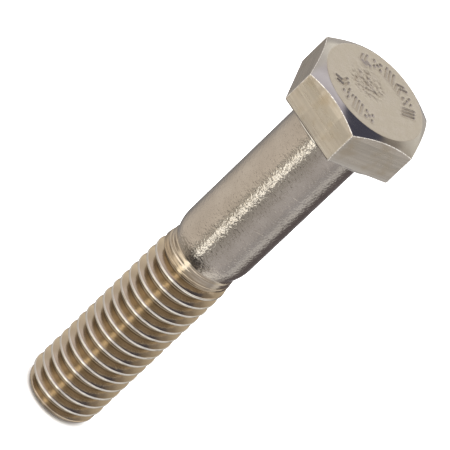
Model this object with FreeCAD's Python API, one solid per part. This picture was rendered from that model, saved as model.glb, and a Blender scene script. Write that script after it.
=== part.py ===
"""Hex cap screw, 3/8 in - 16 threads per inch, 2 in long, in stainless steel.

The real screw is forged and rolled from one length of wire.  Each zone that a
maker forms in its own step is one solid here, and the solids meet face to face.

Millimetres.  +Z runs up the axis towards the head.  The origin is where the
axis crosses the bearing face, the plane that clamps the joint.  One corner of
the hexagon is on +X, so one pair of wrench flats faces +Y and -Y.
"""
import FreeCAD, Part

import math
import os

from FreeCAD import Vector

INCH = 25.4

# Head
ACROSS_FLATS = 14.12
HEAD_HEIGHT = 5.8  # bearing face to the top of the head
CHAMFER_ANGLE = 30.0  # degrees, between the corner chamfer and the top face
TOP_FLAT_RADIUS = 0.91 * ACROSS_FLATS / 2
WASHER_FACE_THICKNESS = 0.4
WASHER_FACE_RADIUS = 0.95 * ACROSS_FLATS / 2
LOWER_EDGE_CHAMFER = 0.15

# Body
LENGTH = 50.5  # bearing face to the end, 2 in nominal
BODY_RADIUS = 4.65
HEAD_FILLET = 0.4

# Thread, a unified 60 degree form rolled on a blank of about the pitch radius
PITCH = INCH / 16
FULL_THREAD_START = 1.0 * INCH  # below the bearing face
MAJOR_RADIUS = 4.64
ROOT_RADIUS = 3.70  # at the bottom of the rounded root
BLANK_RADIUS = 4.16
FLANK_ANGLE = math.radians(30.0)
CREST_FLAT = PITCH / 8
CREST_HEIGHT_AT_X = -0.60  # height of one crest's centre, on the +X side
RUNOUT_TURNS = 1.75  # over which the groove rises out of the blank
FIRST_CREST_RADIUS = 4.30  # of the lowest crest, next to the neck
FIRST_CREST_RISE = 0.75  # height over which it stands up from the blank
OVERCUT = 0.08  # how far the groove's outer edge stands outside the thread

# Neck, where the full body rounds down to the blank
NECK_START = 20.8  # below the bearing face
NECK_LENGTH = 2.3

# Point, where the thread rounds in to the flat end
POINT_RADIUS = 3.64  # of the flat end
POINT_LENGTH = 1.9

# Construction
SPARE = 1.0  # how far a helper shape stands outside the screw
SAME_POINT = 1e-6  # closer outline points than this are one point

AXIS = Vector(0, 0, 1)
ORIGIN = Vector(0, 0, 0)


def turned(points):
    """A solid of revolution about Z from (radius, height) points.

    A point from on_arc() is the middle of an arc that runs from the point
    before it to the point after it.
    """
    edges = []
    start = Vector(points[0][0], 0, points[0][1])
    middle = None
    for point in points[1:] + points[:1]:
        here = Vector(point[0], 0, point[1])
        if len(point) == 3:
            middle = here
            continue
        if middle is not None:
            edges.append(Part.Arc(start, middle, here).toShape())
            middle = None
        elif here.distanceToPoint(start) > SAME_POINT:
            edges.append(Part.makeLine(start, here))
        start = here
    face = Part.Face(Part.Wire(edges))
    return face.revolve(ORIGIN, AXIS, 360)


def on_arc(centre, radius, degrees):
    """A point on an arc, marked as turned() takes the arc's middle point."""
    angle = math.radians(degrees)
    return (
        centre[0] + radius * math.cos(angle),
        centre[1] + radius * math.sin(angle),
        "arc",
    )


def rounding(wide, narrow, top, length):
    """Three outline points of an arc that leaves a cylinder smoothly and narrows it."""
    fall = wide - narrow
    arc_radius = (fall**2 + length**2) / (2 * fall)
    half_turn = math.degrees(math.asin(length / arc_radius)) / 2
    return [
        (wide, top),
        on_arc((wide - arc_radius, top), arc_radius, -half_turn),
        (narrow, top - length),
    ]


def hex_head():
    """The hexagon, its corners chamfered by one cone above and a small one below."""
    corner = ACROSS_FLATS / 2 / math.cos(math.pi / 6)
    corners = [
        Vector(
            corner * math.cos(math.radians(angle)),
            corner * math.sin(math.radians(angle)),
            WASHER_FACE_THICKNESS,
        )
        for angle in range(0, 420, 60)
    ]
    hexagon = Part.Face(Part.makePolygon(corners))
    prism = hexagon.extrude(AXIS * (HEAD_HEIGHT - WASHER_FACE_THICKNESS))
    wide = corner + SPARE
    drop = (wide - TOP_FLAT_RADIUS) * math.tan(math.radians(CHAMFER_ANGLE))
    rise = wide - (corner - LOWER_EDGE_CHAMFER)
    envelope = turned(
        [
            (0, WASHER_FACE_THICKNESS),
            (corner - LOWER_EDGE_CHAMFER, WASHER_FACE_THICKNESS),
            (wide, WASHER_FACE_THICKNESS + rise),
            (wide, HEAD_HEIGHT - drop),
            (TOP_FLAT_RADIUS, HEAD_HEIGHT),
            (0, HEAD_HEIGHT),
        ]
    )
    return prism.common(envelope)


def washer_face():
    """The turned ring under the hexagon, round the shank's flared top."""
    outer = Part.makeCylinder(WASHER_FACE_RADIUS, WASHER_FACE_THICKNESS)
    inner = Part.makeCylinder(BODY_RADIUS + HEAD_FILLET, WASHER_FACE_THICKNESS)
    return outer.cut(inner)


def shank():
    """The plain body, flared by a fillet under the head, from the hexagon to the neck."""
    flare = BODY_RADIUS + HEAD_FILLET
    return turned(
        [
            (0, WASHER_FACE_THICKNESS),
            (flare, WASHER_FACE_THICKNESS),
            (flare, 0),
            on_arc((flare, -HEAD_FILLET), HEAD_FILLET, 135),
            (BODY_RADIUS, -HEAD_FILLET),
            (BODY_RADIUS, -NECK_START),
            (0, -NECK_START),
        ]
    )


def neck():
    """The shoulder, one arc from the full body in to the blank."""
    return turned(
        [
            (0, -NECK_START),
            *rounding(BODY_RADIUS, BLANK_RADIUS, -NECK_START, NECK_LENGTH),
            (0, -NECK_START - NECK_LENGTH),
        ]
    )


def groove_profile(angle, height):
    """The groove's closed outline in the plane through the axis at this angle."""
    outer = MAJOR_RADIUS + OVERCUT
    half_outer = (PITCH - CREST_FLAT) / 2 + OVERCUT * math.tan(FLANK_ANGLE)
    # the root arc touches both flanks and bottoms at the root radius
    apex = outer - half_outer / math.tan(FLANK_ANGLE)
    root_arc = (ROOT_RADIUS - apex) / (1 / math.sin(FLANK_ANGLE) - 1)
    centre = ROOT_RADIUS + root_arc
    touch = centre - root_arc * math.sin(FLANK_ANGLE)
    half_touch = root_arc * math.cos(FLANK_ANGLE)

    def at(radius, offset):
        return Vector(
            radius * math.cos(angle), radius * math.sin(angle), height + offset
        )

    lower_out = at(outer, -half_outer)
    lower_in = at(touch, -half_touch)
    upper_in = at(touch, half_touch)
    upper_out = at(outer, half_outer)
    return Part.Wire(
        [
            Part.makeLine(lower_out, lower_in),
            Part.Arc(lower_in, at(ROOT_RADIUS, 0), upper_in).toShape(),
            Part.makeLine(upper_in, upper_out),
            Part.makeLine(upper_out, lower_out),
        ]
    )


def groove():
    """The helical groove, swept up from below the end, then outward at the runout."""
    start_height = CREST_HEIGHT_AT_X + PITCH / 2
    turns_down = math.ceil((LENGTH + start_height) / PITCH) + 1
    start_height -= turns_down * PITCH
    # to the nearest quarter turn
    turns = round(-(FULL_THREAD_START + start_height) / PITCH * 4) / 4
    guide = MAJOR_RADIUS
    full = Part.makeLongHelix(PITCH, turns * PITCH, guide, 0)
    full.translate(Vector(0, 0, start_height))
    lift = MAJOR_RADIUS + OVERCUT - ROOT_RADIUS
    rise = RUNOUT_TURNS * PITCH
    cone = math.degrees(math.atan2(lift, rise))
    leaving = Part.makeLongHelix(PITCH, rise, guide, cone)
    leaving.rotate(ORIGIN, AXIS, 360 * turns)
    leaving.translate(Vector(0, 0, start_height + turns * PITCH))
    path = Part.Wire(full.Edges + leaving.Edges)
    sweep = Part.BRepOffsetAPI.MakePipeShell(path)
    sweep.setBiNormalMode(AXIS)
    sweep.add(groove_profile(0, start_height))
    sweep.build()
    sweep.makeSolid()
    return sweep.shape()


def threaded_bar():
    """The threaded end as one bar: the rolled envelope less the helical groove."""
    neck_end = -NECK_START - NECK_LENGTH
    point_top = -LENGTH + POINT_LENGTH
    envelope = turned(
        [
            (0, neck_end),
            (BLANK_RADIUS, neck_end),
            (FIRST_CREST_RADIUS, neck_end - FIRST_CREST_RISE),
            (MAJOR_RADIUS, -FULL_THREAD_START - PITCH / 2),
            *rounding(MAJOR_RADIUS, POINT_RADIUS, point_top, POINT_LENGTH),
            (0, -LENGTH),
        ]
    )
    return envelope.cut(groove())


def slab(bottom, top):
    """A disc wider than the screw between two heights, to divide the bar."""
    return Part.makeCylinder(2 * MAJOR_RADIUS, top - bottom, Vector(0, 0, bottom))


def main():
    bar = threaded_bar()
    split = -LENGTH + POINT_LENGTH
    zones = {
        "hex_head": hex_head(),
        "washer_face": washer_face(),
        "shank": shank(),
        "neck": neck(),
        "rolled_thread": bar.common(slab(split, 0)),
        "point": bar.common(slab(-LENGTH - SPARE, split)),
    }
    os.makedirs("parts", exist_ok=True)
    for name, shape in zones.items():
        solids = shape.Solids
        print(
            f"{name}: {len(solids)} solid, valid {shape.isValid()},"
            f" volume {shape.Volume:.2f} mm3, faces {len(shape.Faces)}"
        )
        shape.exportStep(f"parts/{name}.step")


main()
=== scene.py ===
"""A stainless hex bolt with a forged head, a drawn shank and a rolled coarse thread.

Everything is in metres, in the bolt's own frame: +Z up the axis towards the head,
the origin on the bearing face, a corner of the hexagon on +X.
"""

import math

import bmesh
import bpy
from mathutils import Matrix, Vector, noise


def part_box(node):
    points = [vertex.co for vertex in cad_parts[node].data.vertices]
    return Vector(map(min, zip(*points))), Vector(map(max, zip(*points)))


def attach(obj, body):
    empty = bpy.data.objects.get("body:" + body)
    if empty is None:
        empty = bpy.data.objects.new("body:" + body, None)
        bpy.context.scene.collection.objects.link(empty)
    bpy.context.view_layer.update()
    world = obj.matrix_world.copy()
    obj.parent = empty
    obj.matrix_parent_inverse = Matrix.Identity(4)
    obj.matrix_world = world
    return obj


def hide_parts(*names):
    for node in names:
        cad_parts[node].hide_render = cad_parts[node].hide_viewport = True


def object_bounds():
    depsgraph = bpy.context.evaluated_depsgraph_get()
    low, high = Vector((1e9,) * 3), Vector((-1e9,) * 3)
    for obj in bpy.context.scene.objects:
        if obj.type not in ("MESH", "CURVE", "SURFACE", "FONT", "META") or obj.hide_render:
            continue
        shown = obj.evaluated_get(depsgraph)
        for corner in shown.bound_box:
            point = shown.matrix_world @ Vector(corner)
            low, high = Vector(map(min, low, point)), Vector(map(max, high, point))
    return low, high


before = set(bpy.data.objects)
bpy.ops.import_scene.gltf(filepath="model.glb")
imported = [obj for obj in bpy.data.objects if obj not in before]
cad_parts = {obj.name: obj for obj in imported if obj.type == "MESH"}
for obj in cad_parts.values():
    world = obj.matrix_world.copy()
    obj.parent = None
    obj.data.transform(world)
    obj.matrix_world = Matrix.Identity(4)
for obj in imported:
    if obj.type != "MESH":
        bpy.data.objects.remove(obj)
cad_low, cad_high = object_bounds()

MM = 0.001
SAME_POINT = 0.001 * MM  # corners closer than this are one

# Sizes read from the frame
HEAD_LOW, HEAD_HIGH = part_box("hex_head")
RING_LOW, RING_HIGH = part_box("washer_face")
NECK_LOW, NECK_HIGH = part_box("neck")
END_LOW, END_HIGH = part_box("point")
FLAT = HEAD_HIGH.y  # from the axis to a wrench flat
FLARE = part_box("shank")[1].x  # where the fillet meets the washer face
BODY = NECK_HIGH.x
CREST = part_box("rolled_thread")[1].x

# Head
TOP_RIM = 0.911 * FLAT  # of the flat circle inside the chamfer
CHAMFER_SLOPE = math.tan(math.radians(30))
STAMP_LIP = 0.03 * MM  # stamped metal stands this proud of the top face
TOP = HEAD_HIGH.z - STAMP_LIP
HEAD_SPOKES = 432
TOP_ROWS = 78  # fine enough to carry the stamped relief
UNDER_EDGE = 0.25 * MM  # rounding where the flats turn under
WORN_EDGE = 0.065 * MM
RIM_DEPTH = 0.15 * MM  # the top's own edge, which isn't rubbed or painted pale
FLATS, CHAMFER, STRUCK_TOP, WORN_HIGHLIGHT = range(4)  # the head's material slots

# Ring and shank
RING_EASE = 0.12 * MM
SHANK_ROWS = 40

# Thread
PITCH = 25.4 / 16 * MM
CREST_AT_X = -0.60 * MM  # height of one crest, carried up the helix, on the +X side
ROOT = 3.70 * MM
BLANK = 4.16 * MM  # radius of the wire before rolling
FULL_THREAD = -25.4 * MM
RUNOUT_TURNS = 1.75
FIRST_CREST = 4.30 * MM
FIRST_CREST_RISE = 0.75 * MM  # the blank swells to it over this height
END_RADIUS = 3.64 * MM
ROOT_ARC = 0.235 * MM
FLANK_ROWS = 7
LAP_DEPTH = 0.050 * MM  # of the line that rolling leaves along the crest
LAP_WIDTH = 0.02 * MM  # to each side
DENT_DEPTH = 0.05 * MM  # of the nicks in the crests
DENT_SIZE = 0.7 * MM
WAVE_DEPTH = 0.006 * MM
WAVE_SIZE = 1.3 * MM
CREST_BLEND = 0.04 * MM  # rounding where a runout flank meets the blank
RIPPLE = 0.008 * MM  # fine ridges where the rolls first bite
RIPPLE_GAP = 0.42 * MM
RIPPLE_END = NECK_LOW.z - 3 * RIPPLE_GAP
STEPS_PER_TURN = 108
SEAM_MERGE = 0.004 * MM  # joins one turn of the thread to the next


# ---------------------------------------------------------------- mesh helpers


def add_piece(name, mesh_maker, materials, nodes):
    """Turns a bmesh into a smooth piece that stands for some CAD nodes."""
    bm = mesh_maker()
    bmesh.ops.recalc_face_normals(bm, faces=bm.faces)
    for face in bm.faces:
        face.smooth = True
    mesh = bpy.data.meshes.new(name)
    bm.to_mesh(mesh)
    bm.free()
    for material in materials:
        mesh.materials.append(material)
    piece = bpy.data.objects.new(name, mesh)
    bpy.context.scene.collection.objects.link(piece)
    weigh = piece.modifiers.new("weigh_normals", "WEIGHTED_NORMAL")
    weigh.keep_sharp = True
    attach(piece, "root")
    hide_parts(*nodes)
    return piece


def widen(bm, edges, place):
    """Extrudes a ring of edges and puts each new corner where place() says."""
    made = bmesh.ops.extrude_edge_only(bm, edges=edges)["geom"]
    for vert in made:
        if isinstance(vert, bmesh.types.BMVert):
            vert.co = place(vert.co)
    return [edge for edge in made if isinstance(edge, bmesh.types.BMEdge)]


def outline(bm, points):
    """A chain of edges in the XZ plane through (radius, height) points."""
    verts = [bm.verts.new((radius, 0, height)) for radius, height in points]
    edges = [bm.edges.new(pair) for pair in zip(verts, verts[1:])]
    return verts + edges


def turned(bm, points, steps=STEPS_PER_TURN):
    """Spins an outline once about the axis and closes the seam and the poles."""
    bmesh.ops.spin(
        bm,
        geom=outline(bm, points),
        axis=(0, 0, 1),
        cent=(0, 0, 0),
        angle=2 * math.pi,
        steps=steps,
        use_merge=True,
    )
    bmesh.ops.remove_doubles(bm, verts=bm.verts, dist=SAME_POINT)


def arc(centre, radius, start, stop, steps):
    """(radius, height) points along an arc, angles in degrees."""
    for i in range(steps + 1):
        angle = math.radians(start + (stop - start) * i / steps)
        yield centre[0] + radius * math.cos(angle), centre[1] + radius * math.sin(angle)


def ramp(value, low, high):
    """0 below low, 1 above high, and smooth between."""
    t = min(max((value - low) / (high - low), 0), 1)
    return t * t * (3 - 2 * t)


# ---------------------------------------------------------------- the head


def hex_reach(angle):
    """Distance from the axis to the hexagon's outline at an angle."""
    turn = (math.degrees(angle) % 60) - 30
    return FLAT / math.cos(math.radians(turn))


# Plain stamped hatching, in place of any wording: each mark is a few strokes in a
# cell one unit wide and high, and none of them is a letter.
MARKS = {
    "hatch": [((0.0, 0), (0.35, 1)), ((0.35, 0), (0.7, 1)), ((0.7, 0), (1.05, 1))],
    "chevrons": [
        ((0.15, 0), (0.5, 0.5)),
        ((0.5, 0.5), (0.15, 1)),
        ((0.55, 0), (0.9, 0.5)),
        ((0.9, 0.5), (0.55, 1)),
    ],
    "pips": [
        ((0.2, 0.15), (0.25, 0.25)),
        ((0.75, 0.2), (0.8, 0.3)),
        ((0.45, 0.5), (0.55, 0.55)),
        ((0.2, 0.8), (0.3, 0.85)),
        ((0.8, 0.8), (0.85, 0.9)),
    ],
}
STAMP_RADIUS = 4.50 * MM
STAMP_CELL = 1.5 * MM
STAMP_WIDTH = 0.15 * MM
STAMP_DEPTH = 0.11 * MM
FAR_ARC = (["hatch", "pips", "chevrons", "hatch", "pips", "chevrons"], 158, 22)
NEAR_ARC = (["chevrons", "pips", "hatch", "pips"], -26, 21)
CLEAR_RIM = 0.2 * MM  # left unpressed inside the flat circle's edge

# The crinkled patch that the die leaves near the middle
CRINKLE_AT = Vector((-0.3, -1.2)) * MM
CRINKLE_SIZE = 0.55 * MM
CRINKLE_DEPTH = 0.10 * MM
CRINKLE_FADE = (1.2 * MM, 3.0 * MM)


def stamped_strokes():
    """Stroke ends on the top face: each arc is its marks, middle and spacing."""
    strokes = []
    for marks, middle, spacing in (FAR_ARC, NEAR_ARC):
        for i, mark in enumerate(marks):
            angle = math.radians(middle + (i - (len(marks) - 1) / 2) * spacing)
            out = Vector((math.cos(angle), math.sin(angle)))
            along = Vector((-out.y, out.x))
            for ends in MARKS[mark]:
                strokes.append(
                    [
                        out * (STAMP_RADIUS + (y - 0.5) * STAMP_CELL)
                        + along * (x - 0.5) * STAMP_CELL
                        for x, y in ends
                    ]
                )
    return strokes


def stroke_distance(point, start, stop):
    """Distance in the plane from a point to a stroke."""
    run = stop - start
    t = min(max((point - start).dot(run) / run.length_squared, 0), 1)
    return (point - start - run * t).length


def press_top(bm):
    """Sinks the stamped strokes and the crinkled middle into the top face."""
    strokes = stamped_strokes()
    for vert in bm.verts:
        flat = Vector(vert.co.xy)
        if vert.co.z < TOP - SAME_POINT or flat.length > TOP_RIM - CLEAR_RIM:
            continue
        sink = 0
        near = [s for s in strokes if (s[0] - flat).length < 2 * STAMP_CELL]
        if near:
            gap = min(stroke_distance(flat, *ends) for ends in near)
            sink = STAMP_DEPTH * (1 - ramp(gap, 0.3 * STAMP_WIDTH, 1.3 * STAMP_WIDTH))
            sink -= STAMP_LIP * ramp(gap, STAMP_WIDTH, 1.5 * STAMP_WIDTH) * (
                1 - ramp(gap, 1.5 * STAMP_WIDTH, 2.8 * STAMP_WIDTH)
            )
        crinkle = noise.fractal(Vector((*flat, 0)) / CRINKLE_SIZE, 0.9, 2.0, 3)
        middle = 1 - ramp((flat - CRINKLE_AT).length, *CRINKLE_FADE)
        sink += CRINKLE_DEPTH * middle * (crinkle + 0.5)
        vert.co.z -= max(sink, -STAMP_LIP)


def head_mesh():
    """The hexagon, from its underside out, up the flats and in over the chamfer."""
    bm = bmesh.new()
    base = bmesh.ops.create_circle(bm, cap_ends=True, radius=1, segments=HEAD_SPOKES)

    def at(height_of, reach_of):
        """A placement on every spoke, from the hexagon's reach there."""

        def place(co):
            angle = math.atan2(co.y, co.x)
            reach = hex_reach(angle)
            flat = Vector((math.cos(angle), math.sin(angle))) * reach_of(reach)
            return Vector((*flat, height_of(reach)))

        return place

    def chamfer_height(reach):
        return TOP - (reach - TOP_RIM) * CHAMFER_SLOPE

    low = HEAD_LOW.z
    for vert in base["verts"]:
        vert.co = at(lambda reach: low, lambda reach: reach)(vert.co)
    ring = widen(bm, bm.edges[:], at(chamfer_height, lambda reach: reach))
    ring = widen(bm, ring, at(lambda reach: TOP, lambda reach: TOP_RIM))
    for row in range(1, TOP_ROWS):
        radius = TOP_RIM * (1 - row / TOP_ROWS)
        ring = widen(bm, ring, at(lambda reach: TOP, lambda reach, r=radius: r))
    bmesh.ops.holes_fill(bm, edges=ring, sides=0)
    bm.normal_update()

    def sharp(low_angle, test):
        return [
            edge
            for edge in bm.edges
            if len(edge.link_faces) == 2
            and edge.calc_face_angle() > math.radians(low_angle)
            and test(edge)
        ]

    def middle(edge):
        return (edge.verts[0].co + edge.verts[1].co) / 2

    worn = set()

    def round_off(edges, offset, segments):
        made = bmesh.ops.bevel(
            bm,
            geom=edges,
            offset=offset,
            segments=segments,
            profile=0.5,
            affect="EDGES",
            material=-1,
        )
        worn.update(made["faces"])

    bottom = sharp(60, lambda edge: middle(edge).z < low + 0.01 * MM)
    round_off(bottom, UNDER_EDGE, 5)
    underside = set(worn)
    bm.normal_update()
    edges = sharp(25, lambda edge: middle(edge).z > low + 0.2 * MM)
    round_off(edges, WORN_EDGE, 3)
    for vert in bm.verts:
        over = vert.co.xy.length / hex_reach(math.atan2(vert.co.y, vert.co.x))
        if over > 1:
            vert.co.xy /= over
    caps = [face for face in bm.faces if len(face.verts) >= HEAD_SPOKES]
    bmesh.ops.poke(bm, faces=caps)
    press_top(bm)
    for face in bm.faces:
        height = face.calc_center_median().z
        upper = height > low + MM
        level = abs(face.normal.z)
        if upper and level > 0.95:
            face.material_index = STRUCK_TOP
        # Rounded edges below the top rim take the pale edge steel: rubbed wear and a
        # painted highlight.
        elif face in worn and height <= TOP - RIM_DEPTH and face not in underside:
            face.material_index = WORN_HIGHLIGHT
        elif face in worn or (upper and level > 0.6):
            face.material_index = CHAMFER
    return bm


def washer_ring_mesh():
    """The turned ring that bears on the joint, its outer corner eased."""
    outer = RING_HIGH.x
    bm = bmesh.new()
    points = [
        (FLARE, RING_LOW.z),
        *arc((outer - RING_EASE, RING_LOW.z + RING_EASE), RING_EASE, -90, 0, 5),
        (outer, RING_HIGH.z),
        (FLARE, RING_HIGH.z),
        (FLARE, RING_LOW.z),
    ]
    turned(bm, points)
    return bm


# ---------------------------------------------------------------- the shank


def shank_mesh():
    """The fillet under the head and the plain body, closed at both ends."""
    fillet = FLARE - BODY
    bm = bmesh.new()
    points = [
        (0, RING_HIGH.z),
        (FLARE, RING_HIGH.z),
        *arc((FLARE, -fillet), fillet, 90, 180, 8),
    ]
    drop = NECK_HIGH.z + fillet
    points += [
        (BODY, -fillet + drop * i / SHANK_ROWS) for i in range(1, SHANK_ROWS + 1)
    ]
    points.append((0, NECK_HIGH.z))
    turned(bm, points)
    mark_caps(bm, (NECK_HIGH.z,))
    return bm


def mark_caps(bm, heights):
    """Makes the rims of flat inner caps sharp, so that they don't bend the shading."""
    for edge in bm.edges:
        height = edge.verts[0].co.z
        at_cap = any(abs(height - cap) < SAME_POINT for cap in heights)
        if at_cap and len(edge.link_faces) == 2:
            if edge.calc_face_angle() > math.radians(60):
                edge.smooth = False


# ---------------------------------------------------------------- the thread


def thread_outline():
    """One pitch of the rolled form, from root to root, with a lap line on its crest."""
    root = [
        (ROOT + ROOT_ARC - ROOT_ARC * math.cos(lean), ROOT_ARC * math.sin(lean))
        for lean in map(math.radians, (0, 15, 30, 45, 60))
    ]
    crest = [
        (CREST - 0.090 * MM, 0.151 * MM),
        (CREST - 0.040 * MM, 0.121 * MM),
        (CREST - 0.010 * MM, 0.088 * MM),
        (CREST, 0.058 * MM),
        (CREST - 0.012 * MM, 0.028 * MM),
        (CREST - LAP_DEPTH, 0),
    ]
    half = [(radius, PITCH / 2 - offset) for radius, offset in root]
    foot, shoulder = Vector(half[-1]), Vector(crest[0])
    half += [tuple(foot.lerp(shoulder, i / FLANK_ROWS)) for i in range(1, FLANK_ROWS)]
    half += crest
    below = [(radius, -offset) for radius, offset in half]
    return below + [(radius, offset) for radius, offset in reversed(half[:-1])]


def narrowed(height, wide, narrow, start, stop):
    """Radius on the arc that leaves a cylinder smoothly at start and ends at stop."""
    fall, length = wide - narrow, abs(stop - start)
    arc_radius = (fall**2 + length**2) / (2 * fall)
    away = min(abs(height - start), length)
    return wide - arc_radius + math.sqrt(arc_radius**2 - away**2)


def blank_radius(height):
    """The outside of the bolt below the shank, with the thread's grooves left out."""
    if height > NECK_LOW.z:
        return narrowed(height, BODY, BLANK, NECK_HIGH.z, NECK_LOW.z)
    if height < END_HIGH.z:
        return narrowed(height, CREST, END_RADIUS, END_HIGH.z, END_LOW.z)
    first = NECK_LOW.z - FIRST_CREST_RISE
    full = FULL_THREAD - PITCH / 2
    step = BLANK + (FIRST_CREST - BLANK) * ramp(height, NECK_LOW.z, first)
    climb = min(max((first - height) / (first - full), 0), 1)
    return step + (CREST - FIRST_CREST) * climb


def soft_min(a, b, blend):
    """The smaller of two lengths, with the corner between them rounded."""
    t = max(blend - abs(a - b), 0) / blend
    return min(a, b) - t * t * blend / 4


def rolled_radius(co):
    """Where a corner of the plain helix ends up: runout, point, dents and ripples."""
    height, radius = co.z, co.xy.length
    blank = blank_radius(height)
    leave = (CREST - ROOT) / (RUNOUT_TURNS * PITCH)
    lifted = radius + max(height - FULL_THREAD, 0) * leave
    wave = noise.noise(co / WAVE_SIZE) * WAVE_DEPTH
    dent = ramp(noise.noise(co / DENT_SIZE), 0.42, 0.62) * DENT_DEPTH
    wave = min(wave, 0) - dent * ramp(radius, CREST - 0.2 * MM, CREST)
    fade = 1 - ramp(height, FULL_THREAD, NECK_LOW.z)
    rolled = soft_min(lifted, blank, CREST_BLEND) + wave * fade
    turns_up = (height - CREST_AT_X) / PITCH - math.atan2(co.y, co.x) / math.tau
    off_crest = abs(turns_up - round(turns_up)) * PITCH
    if height < NECK_LOW.z and off_crest < LAP_WIDTH:
        rolled = min(rolled, blank - LAP_DEPTH)
    if RIPPLE_END < height < NECK_LOW.z:
        below_neck = math.tau * (height - NECK_LOW.z) / RIPPLE_GAP
        rolled += RIPPLE * (math.cos(below_neck) - 1)
    return rolled


def thread_mesh():
    """The neck, the thread with its runout, and the point, as one helical skin."""
    bm = bmesh.new()
    turns_down = math.ceil((CREST_AT_X - END_LOW.z) / PITCH) + 1
    turns = math.ceil((NECK_HIGH.z - END_LOW.z) / PITCH) + 3
    start = CREST_AT_X - turns_down * PITCH
    points = [(radius, start + offset) for radius, offset in thread_outline()]
    bmesh.ops.spin(
        bm,
        geom=outline(bm, points),
        axis=(0, 0, 1),
        cent=(0, 0, 0),
        dvec=(0, 0, PITCH / STEPS_PER_TURN),
        angle=2 * math.pi,
        steps=STEPS_PER_TURN,
    )
    one_turn = bm.verts[:] + bm.edges[:] + bm.faces[:]
    for turn in range(1, turns):
        copied = bmesh.ops.duplicate(bm, geom=one_turn)["geom"]
        verts = [item for item in copied if isinstance(item, bmesh.types.BMVert)]
        bmesh.ops.translate(bm, verts=verts, vec=(0, 0, turn * PITCH))
    bmesh.ops.remove_doubles(bm, verts=bm.verts, dist=SEAM_MERGE)
    for vert in bm.verts:
        vert.co.xy *= rolled_radius(vert.co) / vert.co.xy.length
    for height, way in ((NECK_HIGH.z, 1), (END_LOW.z, -1)):
        cut = bmesh.ops.bisect_plane(
            bm,
            geom=bm.verts[:] + bm.edges[:] + bm.faces[:],
            plane_co=(0, 0, height),
            plane_no=(0, 0, way),
            clear_outer=True,
        )
        rim = [e for e in cut["geom_cut"] if isinstance(e, bmesh.types.BMEdge)]
        bmesh.ops.holes_fill(bm, edges=rim, sides=0)
    mark_caps(bm, (NECK_HIGH.z, END_LOW.z))
    for face in bm.faces:
        if face.calc_center_median().z > NECK_LOW.z:
            face.material_index = 1
    return bm


# ---------------------------------------------------------------- materials


class Nodes:
    """A node tree, with short ways to add what the steels and the studio need."""

    def __init__(self, tree):
        self.tree = tree

    def add(self, kind, **settings):
        node = self.tree.nodes.new(kind)
        for key, value in settings.items():
            setattr(node, key, value)
        return node

    def feed(self, socket, value):
        """Links a value, or sets a number or a colour."""
        if isinstance(value, (int, float)):
            socket.default_value = value
        elif isinstance(value, tuple):
            socket.default_value = (*value, 1)
        else:
            self.tree.links.new(value, socket)

    def span(self, value, low, high, to_low=0.0, to_high=1.0):
        node = self.add("ShaderNodeMapRange", interpolation_type="SMOOTHSTEP")
        node.inputs["From Min"].default_value = low
        node.inputs["From Max"].default_value = high
        node.inputs["To Min"].default_value = to_low
        node.inputs["To Max"].default_value = to_high
        self.feed(node.inputs["Value"], value)
        return node.outputs["Result"]

    def mix(self, factor, first, second):
        node = self.add("ShaderNodeMix", data_type="RGBA")
        self.feed(node.inputs["Factor"], factor)
        self.feed(node.inputs[6], first)
        self.feed(node.inputs[7], second)
        return node.outputs[2]

    def math(self, operation, first, second=0.0):
        node = self.add("ShaderNodeMath", operation=operation)
        self.feed(node.inputs[0], first)
        self.feed(node.inputs[1], second)
        return node.outputs["Value"]

    def parts(self, vector):
        """The X, Y and Z of a vector."""
        node = self.add("ShaderNodeSeparateXYZ")
        self.feed(node.inputs["Vector"], vector)
        return node.outputs


class Steel(Nodes):
    """A bare metal whose patterns follow the bolt's own axes."""

    def __init__(self, name, roughness, metal):
        self.material = bpy.data.materials.new(name)
        self.material.use_nodes = True
        super().__init__(self.material.node_tree)
        self.shader = self.tree.nodes["Principled BSDF"]
        self.shader.inputs["Metallic"].default_value = 1.0
        self.shader.inputs["Roughness"].default_value = roughness
        self.shader.inputs["Base Color"].default_value = (*metal, 1)
        self.where = self.add("ShaderNodeTexCoord").outputs["Object"]

    def grain(self, size, detail=2.0, rough=0.5):
        """Noise with features of a size in metres, or one size for each axis."""
        mapping = self.add("ShaderNodeMapping")
        sizes = size if isinstance(size, tuple) else (size,) * 3
        mapping.inputs["Scale"].default_value = [1 / s for s in sizes]
        self.feed(mapping.inputs["Vector"], self.where)
        texture = self.add("ShaderNodeTexNoise")
        texture.inputs["Scale"].default_value = 1.0
        texture.inputs["Detail"].default_value = detail
        texture.inputs["Roughness"].default_value = rough
        self.feed(texture.inputs["Vector"], mapping.outputs["Vector"])
        return texture.outputs["Fac"]

    def bump(self, *layers):
        """Bumps stacked in order, each a (height, depth in metres) pair."""
        normal = None
        for height, depth in layers:
            node = self.add("ShaderNodeBump")
            node.inputs["Strength"].default_value = 1.0
            node.inputs["Distance"].default_value = depth
            self.feed(node.inputs["Height"], height)
            if normal:
                self.feed(node.inputs["Normal"], normal)
            normal = node.outputs["Normal"]
        self.feed(self.shader.inputs["Normal"], normal)

    def colour(self, source):
        self.feed(self.shader.inputs["Base Color"], source)

    def rough(self, source):
        self.feed(self.shader.inputs["Roughness"], source)


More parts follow.
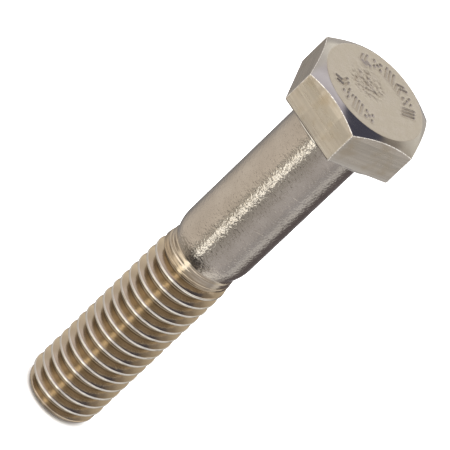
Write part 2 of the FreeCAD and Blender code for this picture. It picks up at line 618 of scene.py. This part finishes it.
def wrench_flat_steel():
    """Ground lines that run round the head, over a satin forged face; near the underside
    edge the lines are painted pale as a highlight.
    """
    steel = Steel("wrench_flat_steel", 0.34, (0.62, 0.59, 0.54))
    lines = steel.grain((7.3 * MM, 8.1 * MM, 0.10 * MM), 3.0, 0.6)
    bands = steel.grain((23 * MM, 19 * MM, 0.55 * MM), 2.0)
    blotch = steel.grain(1.6 * MM, 3.0)
    banding = steel.span(bands, 0.35, 0.65)
    pale = steel.mix(banding, (0.60, 0.56, 0.49), (0.72, 0.67, 0.59))
    worn = steel.mix(steel.span(blotch, 0.45, 0.8), pale, (0.58, 0.51, 0.40))
    height = steel.parts(steel.where)["Z"]
    # Painted highlight: near the underside edge the ground lines turn near-white, partly
    # real grinding lines, partly the light along that edge.
    edge_highlight_lines = steel.span(height, HEAD_LOW.z + 0.35 * MM, HEAD_LOW.z + 1.0 * MM, 0.6, 0.0)
    edge_highlight_lines = steel.math("MULTIPLY", edge_highlight_lines, steel.span(lines, 0.35, 0.55))
    steel.colour(steel.mix(edge_highlight_lines, worn, (0.90, 0.87, 0.82)))
    steel.rough(steel.span(lines, 0.3, 0.7, 0.26, 0.42))
    steel.bump((lines, 0.018 * MM), (steel.grain(0.14 * MM, 3.0, 0.6), 0.006 * MM))
    return steel.material


def chamfer_steel():
    """Turned bright, with faint rings."""
    steel = Steel("chamfer_steel", 0.2, (0.62, 0.60, 0.57))
    rings = steel.grain((3 * MM, 3 * MM, 0.05 * MM), 2.0)
    cloud = steel.grain(1.2 * MM, 2.0)
    steel.colour(steel.mix(cloud, (0.56, 0.54, 0.52), (0.68, 0.66, 0.62)))
    steel.rough(steel.span(rings, 0.3, 0.7, 0.11, 0.18))
    steel.bump((rings, 0.002 * MM))
    return steel.material


def worn_edge_highlight_steel():
    """Corners rubbed pale by handling, and painted near-white as a highlight along the
    rounded edges.
    """
    steel = Steel("worn_edge_highlight_steel", 0.4, (0.84, 0.81, 0.76))
    steel.shader.inputs["Metallic"].default_value = 0.85
    rub = steel.grain(0.22 * MM, 2.0)
    rubbed = steel.span(rub, 0.4, 0.6)
    steel.colour(steel.mix(rubbed, (0.56, 0.52, 0.46), (0.95, 0.93, 0.89)))
    steel.rough(steel.span(rub, 0.3, 0.7, 0.45, 0.34))
    steel.bump((rub, 0.006 * MM))
    return steel.material


def pressed_top_steel():
    """The struck top face: matt, mottled, and darker down in the stamped strokes."""
    steel = Steel("pressed_top_steel", 0.42, (0.60, 0.56, 0.50))
    height = steel.parts(steel.where)["Z"]
    sunk = steel.span(height, TOP - 0.14 * MM, TOP - 0.02 * MM, 0.4, 0.0)
    mottle = steel.grain(1.1 * MM, 4.0, 0.6)
    patches = steel.span(mottle, 0.35, 0.7)
    plain = steel.mix(patches, (0.57, 0.53, 0.47), (0.70, 0.66, 0.60))
    steel.colour(steel.mix(sunk, plain, (0.40, 0.32, 0.25)))
    steel.rough(steel.span(mottle, 0.3, 0.7, 0.36, 0.5))
    steel.bump((steel.grain(0.20 * MM, 3.0, 0.6), 0.018 * MM))
    return steel.material


def shank_steel():
    """Drawn and tumbled: a pebbled skin that breaks a highlight into specks."""
    steel = Steel("shank_steel", 0.24, (0.62, 0.58, 0.53))
    pebble = steel.grain((0.42 * MM, 0.42 * MM, 0.24 * MM), 2.0, 0.5)
    swell = steel.grain(0.9 * MM, 1.0)
    cloud = steel.grain(3.5 * MM, 3.0)
    patches = steel.span(cloud, 0.35, 0.7)
    steel.colour(steel.mix(patches, (0.58, 0.54, 0.49), (0.66, 0.62, 0.57)))
    steel.rough(steel.span(pebble, 0.3, 0.7, 0.10, 0.18))
    steel.bump((swell, 0.010 * MM), (pebble, 0.065 * MM))
    return steel.material


def thread_steel():
    """Rolled smooth: crests painted bright as a highlight, warm brown down in the grooves,
    darkening to painted shade at the roots.
    """
    steel = Steel("thread_steel", 0.17, (0.60, 0.54, 0.45))
    across = steel.add("ShaderNodeVectorMath", operation="MULTIPLY")
    across.inputs[1].default_value = (1, 1, 0)
    steel.feed(across.inputs[0], steel.where)
    from_axis = steel.add("ShaderNodeVectorMath", operation="LENGTH")
    steel.feed(from_axis.inputs[0], across.outputs["Vector"])
    reach = from_axis.outputs["Value"]
    # Painted shade: the colour darkens to near-black down at the thread's roots.
    past_root_shade = steel.span(reach, ROOT + 0.04 * MM, ROOT + 0.26 * MM)
    crest = steel.span(reach, CREST - 0.14 * MM, CREST - 0.03 * MM)
    warm = steel.mix(steel.grain(1.5 * MM, 3.0), (0.53, 0.44, 0.32), (0.64, 0.54, 0.41))
    flank = steel.mix(past_root_shade, (0.22, 0.18, 0.13), warm)
    height = steel.parts(steel.where)["Z"]
    runout = steel.span(height, FULL_THREAD + 0.6 * MM, NECK_LOW.z - 0.5 * MM)
    # Crests turn near-white, partly real burnish, partly a painted highlight; the runout
    # is tinted part way towards the same pale colour.
    bright = steel.math("MAXIMUM", crest, steel.math("MULTIPLY", runout, 0.35))
    steel.colour(steel.mix(bright, flank, (0.88, 0.86, 0.81)))
    lines = steel.grain((1.5 * MM, 1.5 * MM, 0.06 * MM), 2.0)
    steel.rough(steel.span(lines, 0.3, 0.7, 0.13, 0.22))
    steel.bump((steel.grain(0.25 * MM, 2.0), 0.006 * MM), (lines, 0.003 * MM))
    return steel.material


# ---------------------------------------------------------------- the studio

CAMERA_AZIMUTH = 77.8
CAMERA_ELEVATION = 32.325
CAMERA_ROLL = 46.351
CAMERA_DISTANCE = 528 * MM
CAMERA_AIM = Vector((0, 0, -19.6 * MM))
CAMERA_SLIDE = Vector((-0.267, 0.819)) * MM  # across and up, in the camera's own axes
CAMERA_LENS = 391.4


def make_camera():
    """Stands off the bolt at the camera's angles and leans it over by the roll."""
    turn, rise = math.radians(CAMERA_AZIMUTH), math.radians(CAMERA_ELEVATION)
    flat = Vector((math.sin(turn), -math.cos(turn))) * math.cos(rise)
    back = Vector((*flat, math.sin(rise)))
    level = Vector((0, 0, 1)).cross(back).normalized()
    lean = Matrix.Rotation(math.radians(CAMERA_ROLL), 3, back)
    right = lean @ level
    up = back.cross(right)
    data = bpy.data.cameras.new("camera")
    data.lens = CAMERA_LENS
    data.clip_start, data.clip_end = 0.01, 20
    camera = bpy.data.objects.new("camera", data)
    place = CAMERA_AIM + back * CAMERA_DISTANCE
    place += right * CAMERA_SLIDE.x + up * CAMERA_SLIDE.y
    axes = Matrix((right, up, back)).transposed()
    camera.matrix_world = Matrix.Translation(place) @ axes.to_4x4()
    bpy.context.scene.collection.objects.link(camera)
    bpy.context.scene.camera = camera


FLOOR_GAP = 0.02 * MM  # keeps the floor from lying in the point's flat end


def make_floor():
    """A plain pale floor under the point, see-through from below."""
    bm = bmesh.new()
    bmesh.ops.create_grid(bm, x_segments=1, y_segments=1, size=3.0)
    bmesh.ops.translate(bm, verts=bm.verts, vec=(0, 0, cad_low.z - FLOOR_GAP))
    mesh = bpy.data.meshes.new("floor")
    bm.to_mesh(mesh)
    bm.free()
    material = bpy.data.materials.new("floor")
    material.use_nodes = True
    nodes = Nodes(material.node_tree)
    shader = nodes.tree.nodes["Principled BSDF"]
    shader.inputs["Base Color"].default_value = (0.9, 0.9, 0.9, 1)
    shader.inputs["Roughness"].default_value = 1.0
    shader.inputs["Specular IOR Level"].default_value = 0.0
    clear = nodes.add("ShaderNodeBsdfTransparent")
    either = nodes.add("ShaderNodeMixShader")
    under = nodes.add("ShaderNodeNewGeometry").outputs["Backfacing"]
    nodes.feed(either.inputs["Fac"], under)
    nodes.feed(either.inputs[1], shader.outputs["BSDF"])
    nodes.feed(either.inputs[2], clear.outputs["BSDF"])
    surface = nodes.tree.nodes["Material Output"].inputs["Surface"]
    nodes.feed(surface, either.outputs["Shader"])
    mesh.materials.append(material)
    floor = bpy.data.objects.new("floor", mesh)
    floor.visible_glossy = False
    bpy.context.scene.collection.objects.link(floor)


# The studio's walls as soft bands of light: for each band, colours at angles round
# the bolt, counted from the camera's side, anticlockwise from above. They are set
# for what the steel reflects, and aren't the lamps of a real room.
BELOW = [
    (-180, (0.26, 0.25, 0.25)),
    (-150, (0.26, 0.25, 0.25)),
    (-128, (0.53, 0.48, 0.43)),
    (-105, (0.72, 0.65, 0.57)),
    (-40, (0.73, 0.65, 0.56)),
    (-31, (0.40, 0.37, 0.32)),
    (-23, (0.38, 0.35, 0.30)),
    (-20, (1.80, 1.72, 1.54)),
    (-11, (1.90, 1.86, 1.72)),
    (-7, (0.36, 0.34, 0.31)),
    (12, (0.45, 0.42, 0.39)),
    (40, (0.56, 0.53, 0.52)),
    (65, (0.50, 0.47, 0.46)),
    (82, (0.37, 0.355, 0.365)),
    (92, (0.66, 0.64, 0.62)),
    (104, (0.66, 0.64, 0.62)),
    (113, (0.16, 0.14, 0.14)),
    (150, (0.12, 0.10, 0.10)),
    (165, (0.30, 0.28, 0.29)),
    (180, (0.30, 0.28, 0.29)),
]
LEVEL = [
    (-180, (1.14, 1.09, 0.98)),
    (-155, (0.95, 0.90, 0.80)),
    (-140, (0.72, 0.68, 0.64)),
    (-110, (0.60, 0.56, 0.53)),
    (-75, (0.90, 0.84, 0.78)),
    (-55, (1.60, 1.52, 1.42)),
    (50, (1.60, 1.55, 1.49)),
    (80, (1.15, 1.12, 1.12)),
    (110, (0.90, 0.84, 0.78)),
    (128, (0.50, 0.45, 0.38)),
    (150, (0.75, 0.70, 0.62)),
    (180, (1.14, 1.09, 0.98)),
]
ABOVE = [
    (-180, (0.50, 0.44, 0.38)),
    (-150, (0.50, 0.45, 0.44)),
    (-125, (0.80, 0.76, 0.80)),
    (-60, (0.56, 0.52, 0.58)),
    (0, (0.40, 0.37, 0.40)),
    (60, (0.16, 0.14, 0.14)),
    (120, (0.30, 0.26, 0.22)),
    (150, (0.42, 0.37, 0.31)),
    (180, (0.50, 0.44, 0.38)),
]
BETWEEN = [
    (-180, (0.55, 0.51, 0.47)),
    (-125, (0.50, 0.47, 0.45)),
    (-90, (0.26, 0.22, 0.19)),
    (-62, (0.40, 0.35, 0.29)),
    (-48, (1.00, 0.90, 0.76)),
    (-30, (1.00, 0.90, 0.76)),
    (-22, (1.60, 1.45, 1.20)),
    (-9, (1.70, 1.55, 1.30)),
    (-4, (0.36, 0.32, 0.28)),
    (40, (0.38, 0.34, 0.31)),
    (80, (0.40, 0.37, 0.34)),
    (105, (0.85, 0.80, 0.72)),
    (125, (0.58, 0.54, 0.49)),
    (180, (0.55, 0.51, 0.47)),
]
UNDER = [
    (-180, (0.30, 0.28, 0.27)),
    (-90, (0.46, 0.41, 0.35)),
    (-60, (0.24, 0.21, 0.17)),
    (-40, (0.12, 0.10, 0.09)),
    (-18, (0.07, 0.065, 0.06)),
    (20, (0.08, 0.07, 0.065)),
    (50, (0.42, 0.38, 0.34)),
    (84, (1.10, 1.06, 1.00)),
    (120, (0.35, 0.32, 0.30)),
    (180, (0.30, 0.28, 0.27)),
]
OVERHEAD = (0.08, 0.08, 0.11)
UNDERFOOT = (0.06, 0.055, 0.05)
PALE = (0.95, 0.95, 0.95)  # the backdrop

# Elevations in degrees over which one band gives way to the next
TO_UNDER = (-44, -50)
TO_BETWEEN = (-18, -13)
TO_LEVEL = (4, 11)
TO_ABOVE = (35, 43)
TO_UNDERFOOT = (-72, -80)

# The dark cap overhead leans away from the camera's side and fades between two angles
CAP_LEAN = math.radians(14)
CAP_FADE = (math.radians(26), math.radians(18))


def make_floor_light():
    """A broad soft light overhead that the floor sees and the steel doesn't."""
    data = bpy.data.lights.new("floor_light", "AREA")
    data.shape = "DISK"
    data.size = 2.4
    data.energy = 75
    light = bpy.data.objects.new("floor_light", data)
    light.location = (0, 0, 1.6)
    light.visible_glossy = False
    light.visible_camera = False
    bpy.context.scene.collection.objects.link(light)


def band(nodes, stops, turn):
    """A colour ramp round the bolt. A ramp holds at most 32 stops."""
    node = nodes.add("ShaderNodeValToRGB")
    elements = node.color_ramp.elements
    for index, (angle, colour) in enumerate(stops):
        position = (angle + 180) / 360
        if index < 2:
            element = elements[index]
            element.position = position
        else:
            element = elements.new(position)
        element.color = (*colour, 1)
    nodes.feed(node.inputs["Fac"], turn)
    return node.outputs["Color"]


def make_studio():
    """Lights the bolt from a soft studio all round, and shows a plain pale backdrop."""
    world = bpy.data.worlds.new("studio")
    bpy.context.scene.world = world
    world.use_nodes = True
    nodes = Nodes(world.node_tree)
    nodes.tree.nodes.clear()

    spin = nodes.add("ShaderNodeVectorRotate", rotation_type="Z_AXIS")
    spin.inputs["Angle"].default_value = math.radians(90 - CAMERA_AZIMUTH)
    outward = nodes.add("ShaderNodeTexCoord").outputs["Generated"]
    nodes.feed(spin.inputs["Vector"], outward)
    way = spin.outputs["Vector"]
    x, y, z = nodes.parts(way)
    turn = nodes.math("DIVIDE", nodes.math("ARCTAN2", y, x), math.tau)
    turn = nodes.math("ADD", turn, 0.5)
    rise = nodes.math("MULTIPLY", nodes.math("ARCSINE", z), 180 / math.pi)

    light = band(nodes, BELOW, turn)
    for edge, stops in (
        (TO_UNDER, UNDER),
        (TO_BETWEEN, BETWEEN),
        (TO_LEVEL, LEVEL),
        (TO_ABOVE, ABOVE),
    ):
        light = nodes.mix(nodes.span(rise, *edge), light, band(nodes, stops, turn))
    light = nodes.mix(nodes.span(rise, *TO_UNDERFOOT), light, UNDERFOOT)

    lean = nodes.add("ShaderNodeVectorMath", operation="DOT_PRODUCT")
    lean.inputs[1].default_value = (0, math.sin(CAP_LEAN), math.cos(CAP_LEAN))
    nodes.feed(lean.inputs[0], way)
    cap = nodes.span(lean.outputs["Value"], *map(math.cos, CAP_FADE))
    light = nodes.mix(cap, light, OVERHEAD)

    seen = nodes.add("ShaderNodeLightPath").outputs["Is Camera Ray"]
    background = nodes.add("ShaderNodeBackground")
    nodes.feed(background.inputs["Color"], nodes.mix(seen, light, PALE))
    output = nodes.add("ShaderNodeOutputWorld")
    nodes.feed(output.inputs["Surface"], background.outputs["Background"])


# ---------------------------------------------------------------- assembly

make_camera()
make_floor()
make_floor_light()
make_studio()
bpy.context.scene.view_settings.view_transform = "Standard"

head_steels = [  # in the order of the head's material slots
    wrench_flat_steel(),
    chamfer_steel(),
    pressed_top_steel(),
    worn_edge_highlight_steel(),
]
drawn = shank_steel()
rolled = thread_steel()
add_piece("hex_head_forged", head_mesh, head_steels, ["hex_head"])
add_piece(
    "washer_face_ring",
    washer_ring_mesh,
    [chamfer_steel()],
    ["washer_face"],
)
add_piece("plain_shank", shank_mesh, [drawn], ["shank"])
add_piece(
    "threaded_end",
    thread_mesh,
    [rolled, drawn],
    ["neck", "rolled_thread", "point"],
)
